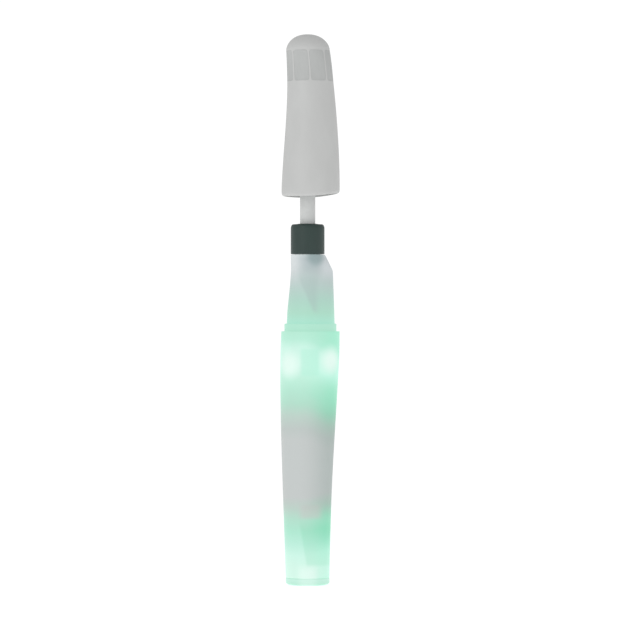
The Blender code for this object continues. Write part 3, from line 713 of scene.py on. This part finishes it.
def make_neck_housing(finish):
    """Neck from its spigot to the boss under the collar, with the flat for the button."""
    middle, normal = shoulder()
    centre, spigot_r = disc_of("guide_tube")
    boss_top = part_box("neck_housing")[1].z
    skirt_z = TUBE_HIGH - 4.15 * MM
    seal_low, seal_high = (corner.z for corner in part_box("neck_seal"))
    cavity_r = spigot_r - 1.8 * MM
    groove_r = spigot_r - 0.9 * MM
    skirt = [
        (spigot_r, skirt_z),
        (spigot_r, seal_low - 0.2 * MM),
        (groove_r, seal_low - 0.2 * MM),
        (groove_r, seal_high + 0.2 * MM),
        (spigot_r, seal_high + 0.2 * MM),
    ]
    skirt += arc(spigot_r - 0.5 * MM, SPIGOT_TOP - 0.5 * MM, 0.5 * MM, 0, 90, 6)
    loops = [loop(z, r, centre) for r, z in skirt]
    heights = spread(SPIGOT_TOP + 0.05 * MM, 206 * MM, 34) + spread(206.4 * MM, NECK_TOP - 0.5 * MM, 38)
    for z in heights:
        loops.append(cut_to_flat(shell_loop(NECK, z), section(NECK, z)[0], middle, normal))
    for drop, inset in ((0.25, 0.04), (0.08, 0.14), (0.0, 0.35)):
        z = NECK_TOP - drop * MM
        loops.append(cut_to_flat(shell_loop(NECK, z, -inset * MM), section(NECK, z)[0], middle, normal))
    lip_low, lip_high = 217.6 * MM, 219.7 * MM
    boss = [(8.6, NECK_TOP), (8.6, boss_top - 0.3 * MM), (8.4, boss_top), (7.65, boss_top)]
    boss += [(7.65, lip_high), (6.3, lip_high), (6.3, lip_low), (9.4, lip_low)]
    loops += [loop(z, r * MM) for r, z in boss]
    loops += [loop(215.0 * MM, 10.2 * MM, 0.5 * MM), loop(209.1 * MM, 11.7 * MM, 1.6 * MM)]
    loops += [shell_loop(NECK, z, -WALL) for z in spread(198.5 * MM, SPIGOT_TOP - 1.5 * MM, 12)]
    loops += [loop(170.0 * MM, cavity_r, centre), loop(skirt_z, cavity_r, centre)]
    neck = mesh_object("neck_shell", [loops], closed=True)
    hole_r, pocket_r, wall = 4.0 * MM, 5.15 * MM, 2.2 * MM
    hole = [(hole_r + 0.8 * MM, 0.6 * MM), (hole_r, -0.2 * MM), (hole_r, -wall - 1 * MM)]
    pocket = [(pocket_r, -wall), (pocket_r, -9 * MM)]
    for profile in (hole, pocket):
        cut(neck, [along([loop(z, r, 0.0, 64) for r, z in profile], middle, normal)])
    return finished(neck, "light_body", finish, "neck_housing", 30)


def make_power_button(finish):
    """Rubber button with a shallow dish and a raised ring for the fingertip."""
    middle, normal = shoulder()
    face, rim = 3.7 * MM, 0.4 * MM
    profile = [(0.3 * MM, 0.3 * MM), (1.2 * MM, 0.28 * MM), (1.45 * MM, 0.16 * MM), (1.8 * MM, 0.1 * MM)]
    profile += [(2.15 * MM, 0.16 * MM), (2.45 * MM, 0.24 * MM), (2.9 * MM, 0.14 * MM)]
    profile += [(r, -z) for r, z in arc(face - rim, -0.1 * MM - rim, rim, 90, 0, 6)]
    profile += [(face, 2.55 * MM), (4.8 * MM, 2.55 * MM), (4.8 * MM, 3.3 * MM)]
    loops = along([loop(z, r, 0.0, 64) for r, z in profile], middle, -normal)
    button = mesh_object("power_button_cap", [loops])
    return finished(button, "button", finish, "power_button", 50)


def rounded_outline(width, height, corner, per_corner=7, per_side=0):
    """Rounded rectangle about the origin, as (across, up) points."""
    bends = []
    for quarter in range(4):
        sx = 1 if quarter in (0, 3) else -1
        sz = 1 if quarter in (0, 1) else -1
        middle = (sx * (width / 2 - corner), sz * (height / 2 - corner))
        bends.append(arc(*middle, corner, 90 * quarter, 90 * quarter + 90, per_corner))
    points = []
    for bend, following in zip(bends, bends[1:] + bends[:1]):
        (x, z), (next_x, next_z) = bend[-1], following[0]
        shares = spread(0, 1, per_side + 2)[1:-1]
        points += bend + [(x + share * (next_x - x), z + share * (next_z - z)) for share in shares]
    return points


def make_lock_collar(finish):
    """Ring nut with a long rounded top edge, a lip round the stem and an index rib at its back."""
    low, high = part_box("lock_collar")
    r = disc_of("lock_collar")[1]
    base, top = low.z, high.z
    ring_z = top - 0.3 * MM
    ease_r, ease_z = 1.6 * MM, 2.8 * MM
    profile = [(r - 0.35 * MM, base)]
    profile += arc(r - 0.3 * MM, base + 0.3 * MM, 0.3 * MM, -60, 0, 4)
    for degrees in spread(0, 82, 14):
        angle = math.radians(degrees)
        profile.append((r - ease_r * (1 - math.cos(angle)), ring_z - ease_z * (1 - math.sin(angle))))
    profile += [(r - 1.9 * MM, ring_z), (7.0 * MM, ring_z), (6.7 * MM, top - 0.05 * MM), (6.5 * MM, top)]
    bore_r = disc_of("stem")[1] + 0.4 * MM
    profile += [(bore_r + 0.2 * MM, top), (bore_r, top - 0.2 * MM), (bore_r, 239.6 * MM)]
    profile += [(6.95 * MM, 239.6 * MM)]
    profile += [(6.95 * MM, 237.9 * MM), (6.35 * MM, 237.9 * MM), (7.9 * MM, 233.9 * MM)]
    profile += [(9.0 * MM, 233.6 * MM), (9.0 * MM, base)]
    collar = turned("lock_collar_shell", profile)
    rib = []
    for out, inset in ((-0.7, 0.0), (0.25, 0.0), (0.42, 0.1), (0.5, 0.3)):
        outline = rounded_outline((1.6 - 2 * inset) * MM, (9 - 2 * inset) * MM, (0.79 - inset) * MM)
        rib.append([Vector((x, r + out * MM, base + 8 * MM + z)) for x, z in outline])
    cut(collar, [rib], "UNION")
    return finished(collar, "collar", finish, "lock_collar", 30)


def make_stem(finish):
    low, high = (corner.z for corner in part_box("stem"))
    r = disc_of("stem")[1]
    profile = [(r - 0.3 * MM, low), (r, low + 0.4 * MM)]
    profile += [(r, z) for z in spread(low + 1 * MM, high - 1 * MM, 30)]
    profile += [(r, high), (r - 1.2 * MM, high), (r - 1.2 * MM, low)]
    stem = turned("stem_tube", profile, segments=96)
    return finished(stem, "grip", finish, "stem")


def rim_rise(x):
    return (x - RIM_LOW_X) ** 2 / (2 * RIM_ARC_R)


def arched_loop(base, share, offset=0.0):
    """Loop of the grip's wall that follows the arc of its rim by this share."""
    points = []
    for i in range(FINE):
        angle = math.tau * i / FINE
        centre, radius = section(GRIP, base)
        x = centre + (radius + offset) * math.cos(angle)
        points.append(Vector((x, (radius + offset) * math.sin(angle), base + share * rim_rise(x))))
    return points


def crown_loops(offset):
    """Crown of the grip: a superellipse whose shoulder slopes in before it rounds to the top."""
    height = GRIP_HIGH - CROWN_SHOULDER_Z + offset
    centre, radius = section(GRIP, CROWN_SHOULDER_Z)
    loops = []
    for degrees in spread(8, 88, 21):
        angle = math.radians(degrees)
        rise = math.sin(angle) ** (2 / CROWN_RISE_POWER)
        reach = math.cos(angle) ** (2 / CROWN_REACH_POWER)
        loops.append(loop(CROWN_SHOULDER_Z + height * rise, (radius + offset) * reach, centre * reach**4))
    return loops


def panel_loops(index, rings):
    """Loops of a curved rounded panel of the grip's surface, each ring an (inset, offset) pair."""
    low, high = (corner.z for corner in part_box("grip_pad_1"))
    middle = (low + high) / 2
    pitch = math.tau / PAD_COUNT
    azimuth = (index + 0.5) * pitch - math.pi / 2
    width = CROWN_R * (pitch - math.radians(PAD_RIB_DEG))
    loops = []
    for inset, offset in rings:
        corner = max(PAD_CORNER_R - inset, 0.05 * MM)
        points = []
        # Points along the straight sides let the panel bend round the grip.
        outline = rounded_outline(width - 2 * inset, high - low - 2 * inset, corner, per_side=10)
        for across, up in outline:
            centre, radius = section(GRIP, middle + up)
            angle = azimuth + across / CROWN_R
            reach = radius + offset
            points.append(Vector((centre + reach * math.cos(angle), reach * math.sin(angle), middle + up)))
        loops.append(points)
    return loops


def make_grip_shell(finish):
    """Hollow grip with an arched rim, a domed crown and pockets for the soft pads."""
    # Below this height the wall's loops bend, more and more, to the arc of the rim.
    level = 268.5 * MM
    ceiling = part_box("grip_core")[0].z
    outer = [shell_loop(GRIP, z) for z in reversed(spread(level + 1.5 * MM, GRIP_SIDE_HIGH, 56))]
    for share in spread(0.0, 1.0, 7):
        outer.append(arched_loop(level + share * (GRIP_LOW + RIM_ROUND - level), share))
    for degrees in spread(10, 90, 9):
        angle = math.radians(degrees)
        inset = RIM_EASE * (1 - math.cos(angle))
        outer.append(arched_loop(GRIP_LOW + RIM_ROUND * (1 - math.sin(angle)), 1.0, -inset))
    inner = [arched_loop(GRIP_LOW + 0.1 * MM, 1.0, -GRIP_WALL)]
    for share in spread(1.0, 0.0, 5):
        inner.append(arched_loop(level + share * (GRIP_LOW + RIM_ROUND - level), share, -GRIP_WALL))
    inner += [shell_loop(GRIP, z, -GRIP_WALL) for z in spread(level + 1.5 * MM, ceiling + 3.6 * MM, 24)]
    thick = GRIP_WALL + 1 * MM
    inner += [shell_loop(GRIP, z, -thick) for z in spread(ceiling + 4 * MM, 354 * MM, 8)]
    loops = list(reversed(crown_loops(0.0))) + outer + inner + crown_loops(-thick)
    shell = mesh_object("grip_casing", [loops])
    floor = [(inset * MM, -PAD_POCKET) for inset in (4.9, 3.4, 2.0, 0.8, -PAD_JOINT / MM)]
    open_side = [(inset, 2 * MM) for inset, _ in reversed(floor)]
    cut(shell, [panel_loops(index, floor + open_side) for index in range(PAD_COUNT)])
    return finished(shell, "grip", finish, "grip_shell", 30)


def make_grip_pads(finish):
    """Soft inlays with a raised edge and a shallow dish, a little below the casing."""
    rings = [(4.9, -0.75), (3.4, -0.75), (2.0, -0.75), (0.8, -0.75), (0.0, -0.75), (0.0, -0.12)]
    rings += [(0.03, -0.09), (0.1, -0.08), (0.35, -0.1), (0.8, -0.16), (1.4, -0.2)]
    rings += [(inset, -0.2) for inset in (2.2, 3.1, 4.0, 4.9)]
    rings = [(inset * MM, offset * MM) for inset, offset in rings]
    for index in range(PAD_COUNT):
        pad = mesh_object(f"grip_inlay_{index + 1}", [panel_loops(index, rings)])
        finished(pad, "grip", finish, f"grip_pad_{index + 1}", 60)


def build_model(finishes):
    make_light_tube(finishes["frosted_tube"])
    make_end_cap(finishes["frosted_cap"])
    make_neck_housing(finishes["frosted_neck"])
    make_power_button(finishes["button_rubber"])
    make_lock_collar(finishes["collar_plastic"])
    make_stem(finishes["stem_plastic"])
    make_grip_shell(finishes["grip_plastic"])
    make_grip_pads(finishes["pad_rubber"])


def dress_frame(finishes):
    """Gives every CAD node the finish of its slot."""
    for subpart in frame["record"]["subparts"]:
        mesh = frame["nodes"][subpart["node"]].data
        mesh.materials.clear()
        mesh.materials.append(finishes[subpart["material_slot"]])


# --- Studio ---


def make_studio():
    """Pale floor, an even white room and one soft window of light on the left."""
    bpy.ops.mesh.primitive_plane_add(size=30, location=(0, 0, 0))
    floor = bpy.context.object
    floor.name = "studio_floor"
    paper = Finish("studio_paper", 0.9, specular=0.1)
    paper.set("Base Color", paper.mix(paper.noise(0.004), tone(240, 240, 240), tone(244, 244, 244)))
    paper.set("Emission Color", (1, 1, 1, 1))
    paper.set("Emission Strength", FLOOR_GLOW)
    floor.data.materials.append(paper.material)

    world = bpy.data.worlds.new("white_room")
    bpy.context.scene.world = world
    world.use_nodes = True
    sky = world.node_tree.nodes["Background"]
    ray = world.node_tree.nodes.new("ShaderNodeLightPath")
    level = world.node_tree.nodes.new("ShaderNodeMapRange")
    level.inputs["To Min"].default_value = ROOM_LIGHT
    level.inputs["To Max"].default_value = 1.05
    sky.inputs["Color"].default_value = (1, 1, 1, 1)
    world.node_tree.links.new(ray.outputs["Is Camera Ray"], level.inputs["Value"])
    world.node_tree.links.new(level.outputs["Result"], sky.inputs["Strength"])

    lamp = bpy.data.lights.new("window", "AREA")
    lamp.shape = "RECTANGLE"
    lamp.size, lamp.size_y = 1.2, 1.6
    lamp.energy = WINDOW_WATTS
    window = bpy.data.objects.new("window", lamp)
    window.location = (-1.2, -1.5, 1.0)
    aim = Vector((0, 0, 0.18)) - window.location
    window.rotation_euler = aim.to_track_quat("-Z", "Y").to_euler()
    bpy.context.scene.collection.objects.link(window)


def make_camera():
    camera_data = bpy.data.cameras.new("camera")
    camera_data.lens = CAMERA_LENS
    camera_data.clip_end = 100
    camera = bpy.data.objects.new("camera", camera_data)
    camera.location = (CAMERA_SIDE, -CAMERA_DISTANCE, CAMERA_HEIGHT)
    camera.rotation_euler = (math.radians(90), 0, 0)
    bpy.context.scene.collection.objects.link(camera)
    bpy.context.scene.camera = camera
    bpy.context.scene.view_settings.view_transform = "Standard"


make_camera()
make_studio()
FINISHES = make_materials()
dress_frame(FINISHES)
build_model(FINISHES)
